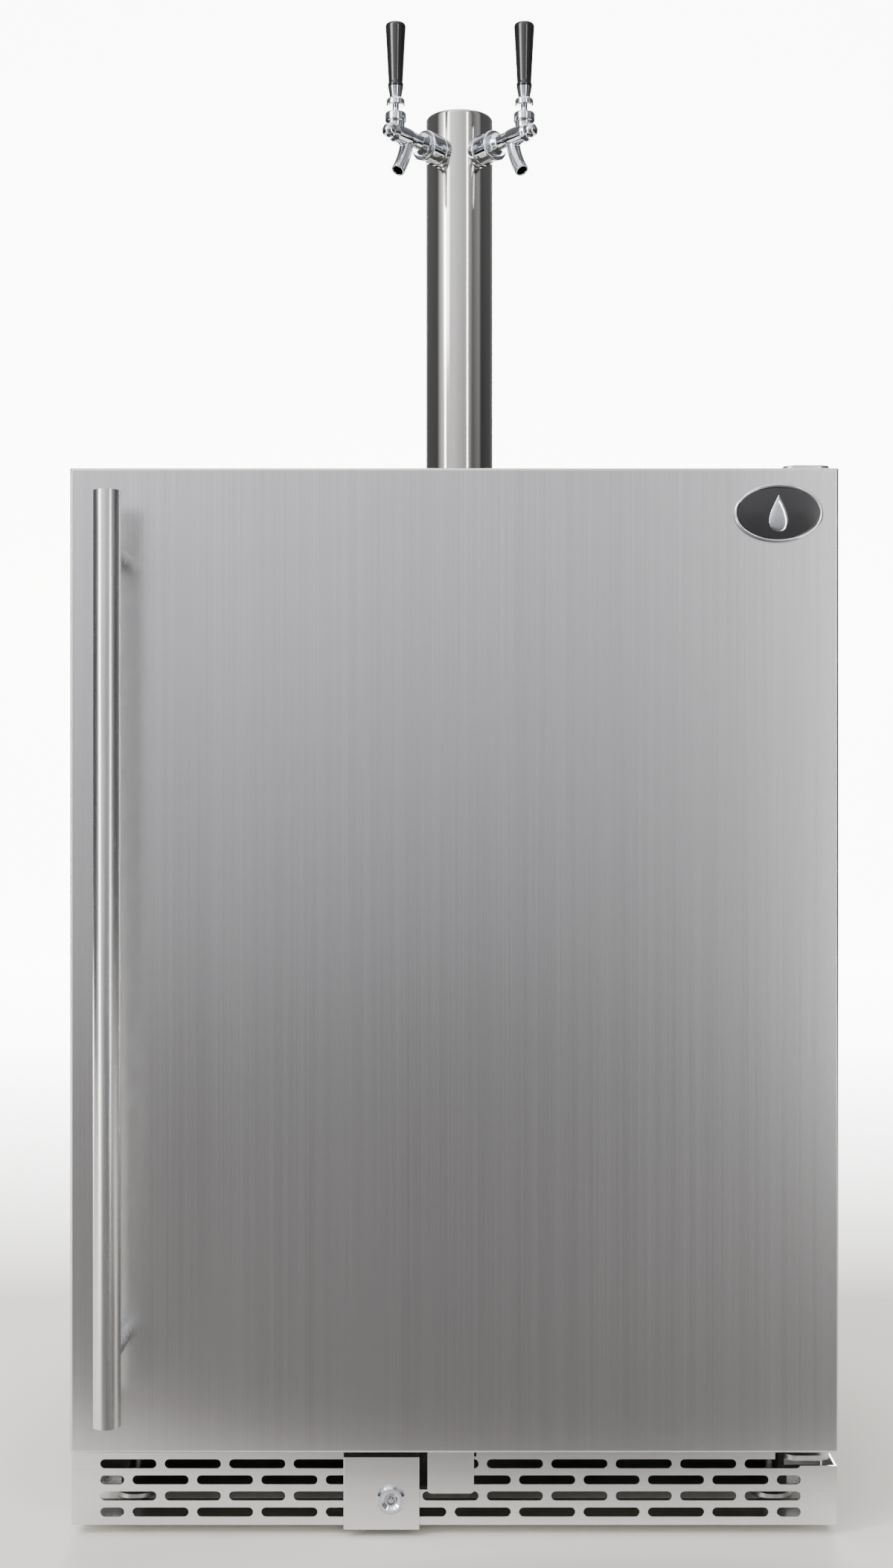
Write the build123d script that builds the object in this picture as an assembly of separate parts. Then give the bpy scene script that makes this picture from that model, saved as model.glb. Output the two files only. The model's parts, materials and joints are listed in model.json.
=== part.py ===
# Built-in two-tap kegerator: insulated cabinet on levelling feet, full-height steel door with a bar
# handle, slotted kick grille with a bolt lock, and a column tower with two beer faucets.
# Millimetres, +Z up, front towards -Y. The origin is on the floor under the middle of the object.
import math
import os

from build123d import *

# ---- driving dimensions -------------------------------------------------------------------------
DOOR_W = 597.0                     # door and kick grille width
DOOR_BOTTOM = 66.4
DOOR_TOP = 831.2
DOOR_FRONT = -264.0
DOOR_THICK = 50.0
DOOR_BACK = DOOR_FRONT + DOOR_THICK
SKIN = 1.0                         # door skin sheet
CABINET_W = 592.0
CABINET_TOP = 832.0
CABINET_FRONT = -204.0
CABINET_BACK = 323.5
SHEET = 1.2                        # cabinet panels
BASE_Z = 18.0                      # underside of the base pan
BASE_THICK = 2.0
WALL = 38.8                        # insulated wall between panel and liner
LINER = 1.5
LINER_FLANGE = 2.0                 # frame round the liner's mouth
LINER_FLOOR = 100.0
LINER_ROOF = 792.0
HUMP_TOP = 240.0                   # step in the liner over the machine compartment
HUMP_FRONT = 112.0
FOAM_BOTTOM = 60.0
GRILLE_FRONT = -258.0
GRILLE_THICK = 1.5
GRILLE_BOTTOM = 8.6
GRILLE_TOP = 65.2
SLOT_LONG = 43.8
SLOT_HEIGHT = 7.2
SLOT_PITCH = 50.2
SLOT_COUNT = 11
SLOT_SHIFT = -3.0                  # pattern's middle, left of the grille's
SLOT_ROW_Z = 18.6                  # lowest row
SLOT_ROW_PITCH = 12.5
HINGE_X = 280.0
HINGE_Y = -236.0
HINGE_PIN_R = 4.0
RUNNING = 0.05                     # radial clearance of a turning fit
BAR_X = -260.5                     # handle bar
BAR_R = 10.3
BAR_Y = DOOR_FRONT - 49.2
BAR_BOTTOM = 104.9
BAR_TOP = 805.6
POST_R = 9.0
POST_HEIGHTS = (157.5, 760.0)
BADGE_X = 251.4
BADGE_Z = 795.8
BADGE_W = 69.3
BADGE_H = 45.6
PLATE_LEFT = -86.3                 # lock housing plate
PLATE_RIGHT = -27.1
PLATE_BOTTOM = 6.5
PLATE_TOP = 62.6
PLATE_FRONT = -262.0
PLATE_THICK = 2.0
HOUSING_BACK = -244.0
LOCK_X = -49.3
LOCK_Z = 30.0
PIN_ARM = 9.5                      # radius at which the lock's drive pin turns
STRIKE_LEFT = -20.9
STRIKE_RIGHT = 15.2
STRIKE_BOTTOM = 34.5
TOWER_X = 6.0
TOWER_Y = 40.0
COLUMN_R = 31.75
COLUMN_WALL = 1.5
COLUMN_TOP = 1207.0
FLANGE_R = 50.0
TAP_Z = 1172.0
TAP_SPLAY = 38.0                   # each tap's angle from straight ahead
SHANK_R = 9.0
LEVER_R = 94.0                     # handle's distance from the column's axis
LEVER_PIVOT = 11.0                 # pivot height over the tap's axis
PIVOT_R = 1.5
COLLAR_END = 35.5                  # along each tap's axis, from the column's
NUT_START = 36.0
SHANK_END = 45.0
NUT_END = 54.0
SPOUT_START = 77.0
STEM_R = 3.0                       # lever's stem, which carries collar, ferrule and grip
GRIP_BOTTOM = 41.0                 # heights over the tap's axis
GRIP_TOP = 98.5
LINE_HOLE_R = 22.0                 # way for the beer lines from the cabinet to the column
COMPRESSOR = (-120.0, 236.0)
FAN_CENTRE = (105.0, 172.0, 115.0)
EVAPORATOR_FAN = (80.0, 262.0, 640.0)
POWER_GLAND = (250.0, CABINET_BACK, 70.0)
CORD_R = 4.0                       # power cord that the gland grips
FOOT_X = 262.0
FOOT_YS = (-170.0, 290.0)

HALF_W = CABINET_W / 2
HALF_DOOR = DOOR_W / 2
INNER_W = HALF_W - SHEET           # foam's half width
CAVITY_W = INNER_W - WALL          # liner's inner half width
CAVITY_BACK = CABINET_BACK - SHEET - WALL


# ---- helpers ------------------------------------------------------------------------------------
def block(x0, x1, y0, y1, z0, z1):
    """Box between two corners."""
    return Pos((x0 + x1) / 2, (y0 + y1) / 2, (z0 + z1) / 2) * Box(x1 - x0, y1 - y0, z1 - z0)


def rod(radius, start, end):
    """Round bar from one point to another."""
    along = Vector(*end) - Vector(*start)
    place = Plane(origin=start, z_dir=along)
    return place * Cylinder(radius, along.length, align=(Align.CENTER, Align.CENTER, Align.MIN))


def hexagon(circle_r, start, end):
    """Hexagonal bar, by the circle through its corners."""
    along = Vector(*end) - Vector(*start)
    place = Plane(origin=start, z_dir=along)
    return place * extrude(RegularPolygon(circle_r, 6), along.length)


def turned(points):
    """Solid of revolution about Z from (radius, height) points."""
    return revolve(Plane.XZ * make_face(Polyline(*points, close=True)), Axis.Z)


def tube_along(points, radius, bend):
    """Rigid pipe with rounded bends."""
    path = FilletPolyline(*points, radius=bend)
    start = Plane(origin=path @ 0, z_dir=path % 0)
    return sweep(start * Circle(radius), path=path)


def save(node, *solids):
    """Write one node, as a solid or as a group of separate solids."""
    shape = solids[0] if len(solids) == 1 else Compound(children=list(solids))
    export_step(shape, f"parts/{node}.step")


# ---- cabinet ------------------------------------------------------------------------------------
def side_panel(side):
    inner = side * (HALF_W - SHEET)
    outer = side * HALF_W
    return block(min(inner, outer), max(inner, outer), CABINET_FRONT, CABINET_BACK - SHEET,
                 BASE_Z + BASE_THICK, CABINET_TOP)


def line_hole(z0, z1, radius=LINE_HOLE_R):
    return rod(radius, (TOWER_X, TOWER_Y, z0), (TOWER_X, TOWER_Y, z1))


def hinge_screw_spots():
    return [(HINGE_X, HINGE_Y + 56.0), (HINGE_X, HINGE_Y + 76.0)]


def flange_screw_spots():
    turn = math.radians(45.0)
    spots = []
    for k in range(4):
        angle = turn + k * math.pi / 2
        spots.append((TOWER_X + 41.0 * math.cos(angle), TOWER_Y + 41.0 * math.sin(angle)))
    return spots


def top_panel():
    panel = block(-INNER_W, INNER_W, CABINET_FRONT, CABINET_BACK - SHEET,
                  CABINET_TOP - SHEET, CABINET_TOP)
    panel -= line_hole(CABINET_TOP - 5, CABINET_TOP + 5, LINE_HOLE_R + 1.5)
    for x, y in hinge_screw_spots() + flange_screw_spots():
        panel -= rod(2.55, (x, y, CABINET_TOP - 5), (x, y, CABINET_TOP + 5))
    return panel


def back_panel():
    panel = block(-HALF_W, HALF_W, CABINET_BACK - SHEET, CABINET_BACK,
                  BASE_Z + BASE_THICK, CABINET_TOP)
    for row in range(7):
        z = 60.0 + row * 22.0
        for x in (-150.0, 0.0, 150.0):
            slot = extrude(SlotOverall(110.0, 8.0), 8.0, both=True)
            panel -= Pos(x, CABINET_BACK, z) * Rot(90, 0, 0) * slot
    gland = POWER_GLAND
    panel -= rod(9.05, (gland[0], gland[1] - 10, gland[2]), (gland[0], gland[1] + 10, gland[2]))
    return panel


def power_gland():
    x, y, z = POWER_GLAND
    body = rod(9.0, (x, y - SHEET - 8, z), (x, y, z))
    body += rod(13.0, (x, y - SHEET - 3, z), (x, y - SHEET, z))
    return body - rod(CORD_R, (x, y - 30, z), (x, y + 10, z))


def base_pan():
    pan = block(-HALF_W, HALF_W, CABINET_FRONT, CABINET_BACK, BASE_Z, BASE_Z + BASE_THICK)
    for x in (-FOOT_X, FOOT_X):
        for y in FOOT_YS:
            pan -= rod(5.1, (x, y, BASE_Z - 5), (x, y, BASE_Z + 10))
    return pan + front_post(-1) + front_post(1)


def levelling_foot(x, y):
    pad = turned([(0, 0), (17, 0), (18, 2), (17, 5), (7, 8), (7, 10), (0, 10)])
    nut = hexagon(10.0, (0, 0, 10), (0, 0, BASE_Z))
    stem = rod(5.0, (0, 0, 8), (0, 0, 44))
    return Pos(x, y, 0) * (pad + nut + stem)


def front_post(side):
    near = side * 262.0
    far = side * INNER_W
    post = block(min(near, far), max(near, far), CABINET_FRONT, CABINET_FRONT + 14,
                 BASE_Z + BASE_THICK, FOAM_BOTTOM)
    for z in (28.0, 46.0):
        post -= rod(2.55, (side * HINGE_X, CABINET_FRONT - 5, z),
                    (side * HINGE_X, CABINET_FRONT + 10, z))
    return post


def cavity(grow):
    """The cavity, with the step over the machine compartment, grown outwards."""
    floor = LINER_FLOOR - grow
    roof = LINER_ROOF + grow
    back = CAVITY_BACK + grow
    step_y = HUMP_FRONT + grow
    step_z = HUMP_TOP - grow
    front = CABINET_FRONT - 5
    points = [(front, floor), (step_y, floor), (step_y, step_z), (back, step_z), (back, roof),
              (front, roof)]
    face = Plane.YZ * make_face(Polyline(*points, close=True))
    return extrude(face, CAVITY_W + grow, both=True)


def liner_walls():
    """The liner as flat walls that meet face to face."""
    wide = CAVITY_W + LINER
    front = CABINET_FRONT + LINER_FLANGE
    step = HUMP_FRONT + LINER
    back = CAVITY_BACK + LINER
    roof = block(-wide, wide, front, back, LINER_ROOF, LINER_ROOF + LINER)
    walls = [block(-wide, wide, front, step, LINER_FLOOR - LINER, LINER_FLOOR),
             block(-wide, wide, HUMP_FRONT, step, LINER_FLOOR, HUMP_TOP),
             block(-wide, wide, step, back, HUMP_TOP - LINER, HUMP_TOP),
             block(-wide, wide, CAVITY_BACK, back, HUMP_TOP, LINER_ROOF),
             roof - line_hole(LINER_ROOF - 5, LINER_ROOF + 5, LINE_HOLE_R + 1.5)]
    for x0, x1 in ((-wide, -CAVITY_W), (CAVITY_W, wide)):
        walls.append(block(x0, x1, front, HUMP_FRONT, LINER_FLOOR, HUMP_TOP))
        walls.append(block(x0, x1, front, CAVITY_BACK, HUMP_TOP, LINER_ROOF))
    return walls


def liner_flange():
    """Flat frame round the liner's mouth, which the door's gasket meets."""
    y0 = CABINET_FRONT
    y1 = y0 + LINER_FLANGE
    return [block(-INNER_W, INNER_W, y0, y1, FOAM_BOTTOM, LINER_FLOOR),
            block(-INNER_W, INNER_W, y0, y1, LINER_ROOF, CABINET_TOP - SHEET),
            block(-INNER_W, -CAVITY_W, y0, y1, LINER_FLOOR, LINER_ROOF),
            block(CAVITY_W, INNER_W, y0, y1, LINER_FLOOR, LINER_ROOF)]


def cabinet_foam():
    foam = block(-INNER_W, INNER_W, CABINET_FRONT + LINER_FLANGE, CABINET_BACK - SHEET,
                 FOAM_BOTTOM, CABINET_TOP - SHEET)
    foam -= block(-400, 400, HUMP_FRONT + WALL, 400, 0, HUMP_TOP - WALL)
    return foam - cavity(LINER) - line_hole(700, 900, LINE_HOLE_R + 1.5)


def line_sleeve():
    """Plastic tube through the roof, from the cavity to the tower."""
    sleeve = line_hole(LINER_ROOF, CABINET_TOP, LINE_HOLE_R + 1.5)
    return sleeve - line_hole(LINER_ROOF - 5, CABINET_TOP + 5)


def lower_hinge():
    plate = block(258, 294.5, HINGE_Y - 18, CABINET_FRONT, 57, 61)
    plate = fillet(plate.edges().filter_by(Axis.Z).group_by(Axis.Y)[0], 10)
    leg = block(266, 294.5, CABINET_FRONT - 4, CABINET_FRONT, 37, 57)
    bracket = plate + leg
    bracket -= rod(HINGE_PIN_R, (HINGE_X, HINGE_Y, 50), (HINGE_X, HINGE_Y, 70))
    return bracket - rod(2.55, (HINGE_X, -220, 46), (HINGE_X, -190, 46))


def upper_hinge():
    plate = block(258, 294.5, HINGE_Y - 18, HINGE_Y + 90, CABINET_TOP, CABINET_TOP + 3)
    plate = fillet(plate.edges().filter_by(Axis.Z), 10)
    plate -= rod(HINGE_PIN_R, (HINGE_X, HINGE_Y, 800), (HINGE_X, HINGE_Y, 850))
    for x, y in hinge_screw_spots():
        plate -= rod(2.55, (x, y, CABINET_TOP - 5), (x, y, CABINET_TOP + 5))
    return plate


def hinge_pins():
    lower = rod(HINGE_PIN_R, (HINGE_X, HINGE_Y, 57), (HINGE_X, HINGE_Y, 80))
    upper = rod(HINGE_PIN_R, (HINGE_X, HINGE_Y, 814), (HINGE_X, HINGE_Y, CABINET_TOP + 3))
    return lower, upper


def pan_screw(x, y, z, down):
    """Pan-head screw seen from its seat: down is the direction its shank takes, and its length."""
    seat = Vector(x, y, z)
    way = Vector(*down)
    shank = rod(2.5, seat, (seat + way))
    head_top = seat - way.normalized() * 2.6
    head = rod(4.6, seat, head_top)
    head = fillet(head.faces().sort_by(Axis(seat, way))[0].edges(), 1.6)
    drive = Plane(origin=head_top, z_dir=way)
    cross = drive * (Box(4.6, 0.9, 2.4) + Box(0.9, 4.6, 2.4))
    return shank + head - cross


def hinge_screws():
    top = [pan_screw(x, y, CABINET_TOP + 3, (0, 0, -4.2)) for x, y in hinge_screw_spots()]
    bottom = pan_screw(HINGE_X, CABINET_FRONT - 4, 46, (0, 12, 0))
    return top + [bottom]


# ---- kick grille and lock -----------------------------------------------------------------------
def vent_slot(x0, x1, z):
    slot = extrude(SlotOverall(x1 - x0, SLOT_HEIGHT), 5.0, both=True)
    return Pos((x0 + x1) / 2 + SLOT_SHIFT, GRILLE_FRONT, z) * Rot(90, 0, 0) * slot


def kick_grille():
    """Front pan with four rows of staggered slots, folded back at its ends and bottom."""
    back = GRILLE_FRONT + GRILLE_THICK
    half = HALF_DOOR - 0.5
    span = (SLOT_COUNT - 1) * SLOT_PITCH + SLOT_LONG
    gap = SLOT_PITCH - SLOT_LONG
    grille = block(-half, half, GRILLE_FRONT, CABINET_FRONT - 4.5, GRILLE_BOTTOM, GRILLE_TOP)
    grille -= block(-half + GRILLE_THICK, half - GRILLE_THICK, back, CABINET_FRONT,
                    GRILLE_BOTTOM + GRILLE_THICK, GRILLE_TOP + 5)
    for side in (-1, 1):
        near = side * 268.0
        far = side * half
        ear = block(min(near, far), max(near, far), CABINET_FRONT - 4.5, CABINET_FRONT, 22, 34)
        ear -= rod(2.55, (side * HINGE_X, -220, 28), (side * HINGE_X, -190, 28))
        grille += ear
    for row in range(4):
        z = SLOT_ROW_Z + row * SLOT_ROW_PITCH
        if row % 2:
            starts = [-span / 2 + k * SLOT_PITCH for k in range(SLOT_COUNT)]
            slots = [(x, x + SLOT_LONG) for x in starts]
        else:
            middle = (SLOT_LONG - gap) / 2
            starts = [-span / 2 + middle + gap + k * SLOT_PITCH for k in range(SLOT_COUNT - 1)]
            slots = [(x, x + SLOT_LONG) for x in starts]
            slots += [(-span / 2, -span / 2 + middle), (span / 2 - middle, span / 2)]
        for x0, x1 in slots:
            grille -= vent_slot(x0, x1, z)
    grille -= block(250, 310, GRILLE_FRONT - 5, CABINET_FRONT, 54.5, GRILLE_TOP + 5)
    return grille - lock_notch()


def lock_notch():
    """Room in the grille's sheet for the lock housing, the bolt and the door's strike."""
    y0 = GRILLE_FRONT - 5
    y1 = GRILLE_FRONT + 8
    housing = block(PLATE_LEFT, PLATE_RIGHT, y0, y1, GRILLE_BOTTOM - 5, GRILLE_TOP + 5)
    bolt_way = block(PLATE_RIGHT, STRIKE_LEFT + 5, y0, y1, STRIKE_BOTTOM + 1.5, GRILLE_TOP + 5)
    flange_way = block(PLATE_RIGHT, STRIKE_RIGHT + 2, y0, y1, GRILLE_TOP - 3.2, GRILLE_TOP + 5)
    return housing + bolt_way + flange_way


def grille_screws():
    return [pan_screw(side * HINGE_X, CABINET_FRONT - 4.5, 28, (0, 12, 0)) for side in (-1, 1)]


def lock_plate():
    """Folded housing set into the grille, which guides the bolt."""
    back = HOUSING_BACK
    box = block(PLATE_LEFT, PLATE_RIGHT, PLATE_FRONT, back, PLATE_BOTTOM, PLATE_TOP)
    box = fillet(box.edges().filter_by(Axis.Z).group_by(Axis.Y)[0], 1.0)
    inside = block(PLATE_LEFT + 1.5, PLATE_RIGHT - 1.5, PLATE_FRONT + PLATE_THICK, back + 5,
                   PLATE_BOTTOM + 1.5, PLATE_TOP - 1.5)
    low = block(PLATE_LEFT - 5, PLATE_RIGHT + 5, PLATE_FRONT + PLATE_THICK, back + 5,
                PLATE_BOTTOM - 5, GRILLE_BOTTOM + 2)
    window = block(PLATE_RIGHT - 5, PLATE_RIGHT + 5, -251.5, -247.5, 39.5, 50.5)
    hole = rod(7.0, (LOCK_X, -280, LOCK_Z), (LOCK_X, -250, LOCK_Z))
    return box - inside - low - window - hole + bolt_guide()


def lock_barrel():
    flange = rod(11.0, (LOCK_X, PLATE_FRONT, LOCK_Z), (LOCK_X, PLATE_FRONT - 4, LOCK_Z))
    flange = chamfer(flange.faces().sort_by(Axis.Y)[0].edges(), 1.6)
    body = rod(6.95, (LOCK_X, PLATE_FRONT - 1, LOCK_Z), (LOCK_X, -254.5, LOCK_Z))
    bore = rod(4.1 + RUNNING, (LOCK_X, -280, LOCK_Z), (LOCK_X, -250, LOCK_Z))
    mouth = Plane(origin=(LOCK_X, PLATE_FRONT - 4.01, LOCK_Z), z_dir=(0, 1, 0))
    funnel = mouth * Cone(7.4, 4.1, 2.2, align=(Align.CENTER, Align.CENTER, Align.MIN))
    return flange + body - bore - funnel


def lock_plug():
    """Round-key plug: an annular keyway round a centre post."""
    plug = rod(4.1, (LOCK_X, -265, LOCK_Z), (LOCK_X, -252.5, LOCK_Z))
    groove = rod(3.3, (LOCK_X, -266, LOCK_Z), (LOCK_X, -260, LOCK_Z))
    groove -= rod(1.9, (LOCK_X, -266, LOCK_Z), (LOCK_X, -260, LOCK_Z))
    notch = block(LOCK_X - 0.7, LOCK_X + 0.7, -266, -262.5, LOCK_Z + 1, LOCK_Z + 4.2)
    return plug - groove - notch


def lock_cam():
    """Arm on the plug's rear end, whose pin drives the bolt."""
    reach = PIN_ARM * math.sqrt(0.5)
    pin_x = LOCK_X - reach
    pin_z = LOCK_Z + reach
    hub = rod(5.5, (LOCK_X, -252.5, LOCK_Z), (LOCK_X, -251.7, LOCK_Z))
    head = rod(3.0, (pin_x, -252.5, pin_z), (pin_x, -251.7, pin_z))
    arm = Rot(0, 45, 0) * Box(PIN_ARM, 0.8, 5.0)
    arm = Pos(LOCK_X - reach / 2, -252.1, LOCK_Z + reach / 2) * arm
    pin = rod(1.5, (pin_x, -252.1, pin_z), (pin_x, -247.8, pin_z))
    return hub + head + arm + pin


def lock_bolt():
    """Flat bolt that slides right behind the strike, with a slot for the drive pin."""
    slot_x = LOCK_X - PIN_ARM * math.sqrt(0.5)
    bolt = block(-78, -28.0, -251, -248, 40, 50)
    bolt += block(slot_x - 7, slot_x + 7, -251, -248, 33, 40)
    return bolt - block(slot_x - 2.1, slot_x + 2.1, -255, -245, 30, 43)


def bolt_guide():
    """Bracket on the housing's left wall that carries the bolt's tail."""
    guide = block(PLATE_LEFT + 1.5, PLATE_LEFT + 20, -252.5, -246.5, 36, 54)
    return guide - block(PLATE_LEFT, PLATE_LEFT + 25, -251.3, -247.7, 39.7, 50.3)


def door_strike():
    """Folded tab under the door: front plate, top flange and slotted side that the bolt enters."""
    front = block(STRIKE_LEFT, STRIKE_RIGHT, PLATE_FRONT, PLATE_FRONT + 2, STRIKE_BOTTOM,
                  DOOR_BOTTOM)
    corners = front.edges().filter_by(Axis.Y).group_by(Axis.Z)[0]
    front = fillet(corners, 3)
    flange = block(STRIKE_LEFT, STRIKE_RIGHT, PLATE_FRONT, -247, DOOR_BOTTOM - 2, DOOR_BOTTOM)
    side = block(STRIKE_LEFT, STRIKE_LEFT + 2, PLATE_FRONT, -246.5, STRIKE_BOTTOM + 3, DOOR_BOTTOM)
    strike = front + flange + side
    strike -= block(STRIKE_LEFT - 5, STRIKE_LEFT + 5, -252, -247.3, 39, 51)
    for x in (-10.0, 8.0):
        strike -= rod(2.05, (x, -254, DOOR_BOTTOM - 5), (x, -254, DOOR_BOTTOM + 5))
    return strike


# ---- door ---------------------------------------------------------------------------------------
def door_blank(inset, y0, y1):
    return block(-HALF_DOOR + inset, HALF_DOOR - inset, y0, y1, DOOR_BOTTOM + inset,
                 DOOR_TOP - inset)


def bush_holes(radius):
    lower = rod(radius, (HINGE_X, HINGE_Y, 50), (HINGE_X, HINGE_Y, 84))
    upper = rod(radius, (HINGE_X, HINGE_Y, 810), (HINGE_X, HINGE_Y, 850))
    return lower + upper


def handle_hole(z, radius, y0, y1):
    return rod(radius, (BAR_X, y0, z), (BAR_X, y1, z))


def door_skin():
    outer = door_blank(0, DOOR_FRONT, DOOR_BACK)
    outer = fillet(outer.faces().sort_by(Axis.Y)[0].edges(), 2.2)
    skin = outer - door_blank(SKIN, DOOR_FRONT + SKIN, DOOR_BACK + 5) - bush_holes(7.0)
    for z in POST_HEIGHTS:
        skin -= handle_hole(z, 3.05, DOOR_FRONT - 5, DOOR_FRONT + 5)
    for x in (-10.0, 8.0):
        skin -= rod(2.05, (x, -254, DOOR_BOTTOM - 5), (x, -254, DOOR_BOTTOM + 5))
    return skin


def door_foam():
    foam = door_blank(SKIN, DOOR_FRONT + SKIN, DOOR_BACK - 2) - bush_holes(7.0)
    for z in POST_HEIGHTS:
        foam -= handle_hole(z, 6.0, DOOR_FRONT, DOOR_FRONT + 12)
    for x in (-10.0, 8.0):
        foam -= rod(2.05, (x, -254, DOOR_BOTTOM), (x, -254, DOOR_BOTTOM + 12))
    return foam


def door_liner():
    """Inner door panel with its raised frame, which stands inside the cabinet's mouth."""
    panel = door_blank(SKIN, DOOR_BACK - 2, DOOR_BACK)
    raised = block(-246, 246, DOOR_BACK, DOOR_BACK + 21, 110, 783)
    raised = fillet(raised.faces().sort_by(Axis.Y)[-1].edges(), 6)
    raised -= block(-216, 216, DOOR_BACK, DOOR_BACK + 30, 140, 753)
    return panel + raised


def door_gasket():
    """Bellows seal with its magnet strip side towards the cabinet."""
    outer_x = 283.0
    ring = block(-outer_x, outer_x, DOOR_BACK, CABINET_FRONT - 0.5, 80, 818)
    ring -= block(-outer_x + 18, outer_x - 18, DOOR_BACK - 5, CABINET_FRONT, 98, 800)
    waist = block(-outer_x - 5, outer_x + 5, DOOR_BACK + 3, DOOR_BACK + 5.5, 70, 830)
    waist -= block(-outer_x + 3, outer_x - 3, DOOR_BACK, CABINET_FRONT, 83, 815)
    return ring - waist


def hinge_bushes():
    lower = rod(7.0, (HINGE_X, HINGE_Y, DOOR_BOTTOM), (HINGE_X, HINGE_Y, 84))
    lower += rod(9.5, (HINGE_X, HINGE_Y, 62.5), (HINGE_X, HINGE_Y, DOOR_BOTTOM))
    lower -= rod(HINGE_PIN_R + RUNNING, (HINGE_X, HINGE_Y, 60), (HINGE_X, HINGE_Y, 81))
    upper = rod(7.0, (HINGE_X, HINGE_Y, 810), (HINGE_X, HINGE_Y, DOOR_TOP))
    upper -= rod(HINGE_PIN_R + RUNNING, (HINGE_X, HINGE_Y, 813), (HINGE_X, HINGE_Y, 840))
    return lower, upper


def handle_bar():
    bar = rod(BAR_R, (BAR_X, BAR_Y, BAR_BOTTOM), (BAR_X, BAR_Y, BAR_TOP))
    bar -= rod(BAR_R - 1.5, (BAR_X, BAR_Y, BAR_BOTTOM - 5), (BAR_X, BAR_Y, BAR_TOP + 5))
    for z in POST_HEIGHTS:
        bar -= handle_hole(z, 5.0, BAR_Y, BAR_Y + 30)
    return bar


def bar_end(z, way):
    plug = rod(BAR_R - 1.5, (BAR_X, BAR_Y, z - way * 12), (BAR_X, BAR_Y, z))
    edge = plug.faces().sort_by(Axis.Z)[-1 if way > 0 else 0].edges()
    return chamfer(edge, 0.5)


def handle_post(z):
    """Turned stand-off from the door skin to the bar, screwed from inside the door."""
    post = rod(POST_R, (BAR_X, BAR_Y + 4.0, z), (BAR_X, DOOR_FRONT, z))
    tip = rod(4.95, (BAR_X, BAR_Y + 2, z), (BAR_X, BAR_Y + 12, z))
    saddle = rod(BAR_R, (BAR_X, BAR_Y, z - 20), (BAR_X, BAR_Y, z + 20))
    thread = rod(2.5, (BAR_X, DOOR_FRONT - 14, z), (BAR_X, DOOR_FRONT + 5, z))
    return post - saddle + tip - thread


def handle_screw(z):
    shank = rod(2.45, (BAR_X, DOOR_FRONT - 13, z), (BAR_X, DOOR_FRONT + SKIN, z))
    head = rod(5.0, (BAR_X, DOOR_FRONT + SKIN, z), (BAR_X, DOOR_FRONT + SKIN + 4, z))
    return shank + head


def strike_screw(x):
    head = rod(3.8, (x, -254, DOOR_BOTTOM - 4), (x, -254, DOOR_BOTTOM - 2))
    return head + rod(2.0, (x, -254, DOOR_BOTTOM - 2), (x, -254, DOOR_BOTTOM + 11))


def badge_oval(width, height, thick):
    oval = extrude(Ellipse(width / 2, height / 2), thick)
    return Pos(BADGE_X, DOOR_FRONT, BADGE_Z) * Rot(90, 0, 0) * oval


def badge_rim():
    rim = badge_oval(BADGE_W, BADGE_H, 2.6) - badge_oval(BADGE_W - 5, BADGE_H - 5, 9)
    return rim


def badge_face():
    return badge_oval(BADGE_W - 5.2, BADGE_H - 5.2, 1.6)


def badge_emblem():
    """A plain raised drop."""
    drop = Circle(7.0) + make_face(Polyline((-6.3, 3.0), (6.3, 3.0), (0, 15.0), close=True))
    drop = extrude(drop, 0.7)
    return Pos(BADGE_X, DOOR_FRONT - 1.6, BADGE_Z - 4) * Rot(90, 0, 0) * drop


# ---- tower --------------------------------------------------------------------------------------
def tower_gasket():
    ring = rod(FLANGE_R, (TOWER_X, TOWER_Y, CABINET_TOP), (TOWER_X, TOWER_Y, CABINET_TOP + 2))
    ring -= line_hole(800, 850, LINE_HOLE_R + 3)
    for x, y in flange_screw_spots():
        ring -= rod(2.55, (x, y, 800), (x, y, 850))
    return ring


def tower_flange():
    low = CABINET_TOP + 2
    ring = rod(FLANGE_R, (TOWER_X, TOWER_Y, low), (TOWER_X, TOWER_Y, low + 4))
    ring = fillet(ring.faces().sort_by(Axis.Z)[-1].edges(), 1.5)
    ring -= line_hole(800, 850, COLUMN_R)
    for x, y in flange_screw_spots():
        ring -= rod(2.55, (x, y, 800), (x, y, 850))
    return ring


def flange_screws():
    return [pan_screw(x, y, CABINET_TOP + 6, (0, 0, -7.2)) for x, y in flange_screw_spots()]


def tap_place(side):
    """Frame of one tap: +X outwards along its shank, origin on the column's axis."""
    return Pos(TOWER_X, TOWER_Y, TAP_Z) * Rot(0, 0, -90 + side * TAP_SPLAY)


def tower_column():
    column = line_hole(CABINET_TOP + 2, COLUMN_TOP, COLUMN_R)
    column -= line_hole(CABINET_TOP - 5, COLUMN_TOP + 5, COLUMN_R - COLUMN_WALL)
    for side in (-1, 1):
        column -= tap_place(side) * rod(SHANK_R + RUNNING, (10, 0, 0), (50, 0, 0))
    return column


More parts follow.
